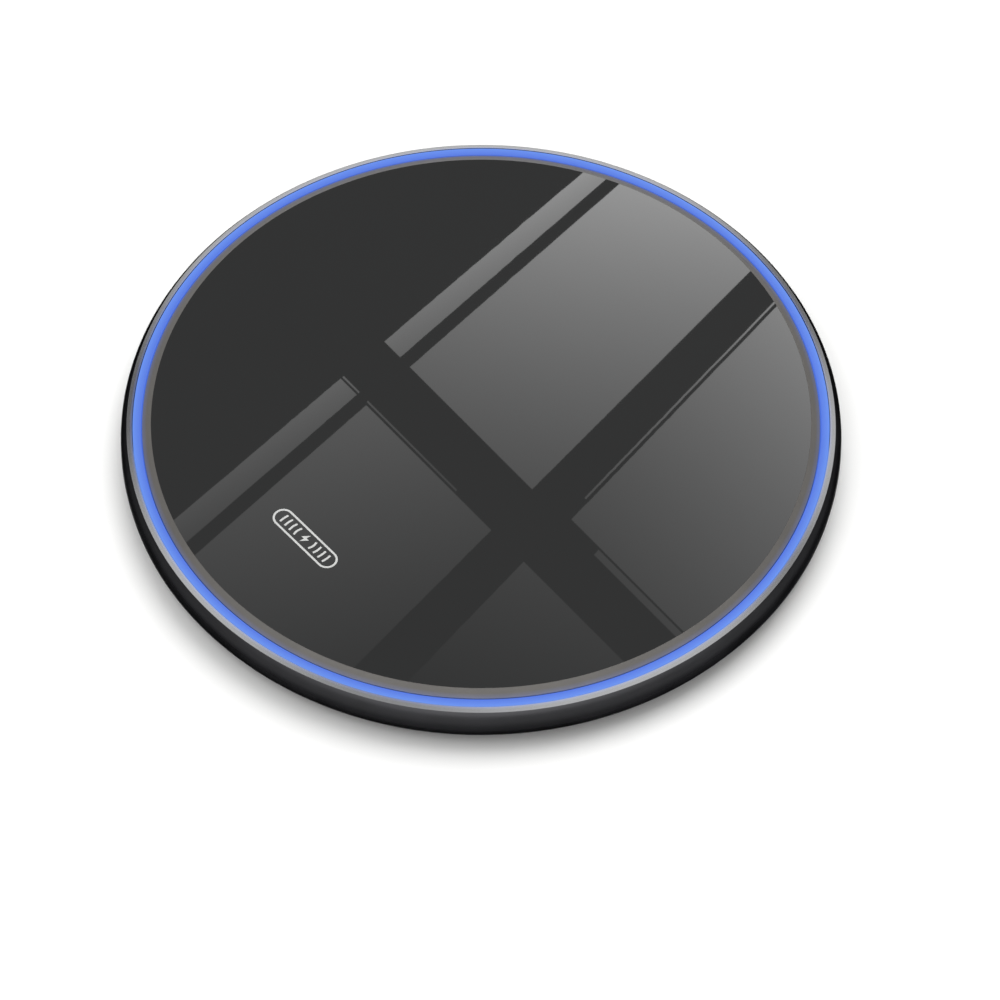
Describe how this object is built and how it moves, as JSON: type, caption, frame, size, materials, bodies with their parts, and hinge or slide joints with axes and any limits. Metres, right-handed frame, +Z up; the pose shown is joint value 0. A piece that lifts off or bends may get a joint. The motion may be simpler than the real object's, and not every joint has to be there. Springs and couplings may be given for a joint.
{
  "type": "wireless charging pad",
  "caption": "Slim round wireless charging pad with a black glass top, a lit blue ring, a bright chamfer and a rounded black metal rim.",
  "frame": {"origin": "on the desk under the middle of the pad", "axes": "+Z up out of the glass, +Y towards the USB-C inlet at the back, +X to the right of a user who sits on the -Y side"},
  "size_m": [0.1, 0.0999, 0.0076],
  "materials": {
    "black_glass": "polished, blacked from behind",
    "light_guide": "frosted, lit from within",
    "anodised_frame": "satin black anodised, with a bright cut chamfer",
    "base_plastic": "fine moulded texture",
    "cover_plastic": "smooth moulded",
    "silicone": "matte",
    "tape": "adhesive coated",
    "board": "solder mask over copper",
    "copper": "enamelled copper wire",
    "ferrite": "sintered",
    "steel": "zinc plated",
    "port_shell": "drawn and nickel plated",
    "port_insulator": "moulded",
    "chip_resin": "moulded epoxy",
    "crystal_can": "seam welded lid",
    "resistor": "glazed",
    "capacitor": "fired, with tinned ends",
    "led": "moulded",
    "thermistor_resin": "dipped epoxy",
    "thermal_pad": "soft filled silicone"
  },
  "bodies": {
    "root": {"glass_panel": "black_glass", "light_guide": "light_guide", "rim_frame": "anodised_frame", "base_cover": "base_plastic", "inner_cover": "cover_plastic", "antislip_ring": "silicone", "panel_adhesive": "tape", "ferrite_adhesive": "tape", "circuit_board": "board", "charging_coil": "copper", "coil_lead_outer": "copper", "coil_lead_inner": "copper", "ferrite_sheet": "ferrite", "screw_1": "steel", "screw_2": "steel", "screw_3": "steel", "screw_4": "steel", "usb_shell": "port_shell", "usb_tongue": "port_insulator", "controller_chip": "chip_resin", "bridge_chip_1": "chip_resin", "bridge_chip_2": "chip_resin", "regulator_chip": "chip_resin", "crystal": "crystal_can", "sense_resistor": "resistor", "chip_resistor_1": "resistor", "chip_resistor_2": "resistor", "chip_resistor_3": "resistor", "chip_resistor_4": "resistor", "chip_resistor_5": "resistor", "chip_resistor_6": "resistor", "resonant_capacitor_1": "capacitor", "resonant_capacitor_2": "capacitor", "resonant_capacitor_3": "capacitor", "resonant_capacitor_4": "capacitor", "input_capacitor_1": "capacitor", "input_capacitor_2": "capacitor", "chip_capacitor_1": "capacitor", "chip_capacitor_2": "capacitor", "chip_capacitor_3": "capacitor", "chip_capacitor_4": "capacitor", "chip_capacitor_5": "capacitor", "chip_capacitor_6": "capacitor", "led_1": "led", "led_2": "led", "led_3": "led", "led_4": "led", "led_5": "led", "led_6": "led", "led_7": "led", "led_8": "led", "thermistor": "thermistor_resin", "thermal_pad": "thermal_pad"}
  },
  "joints": []
}
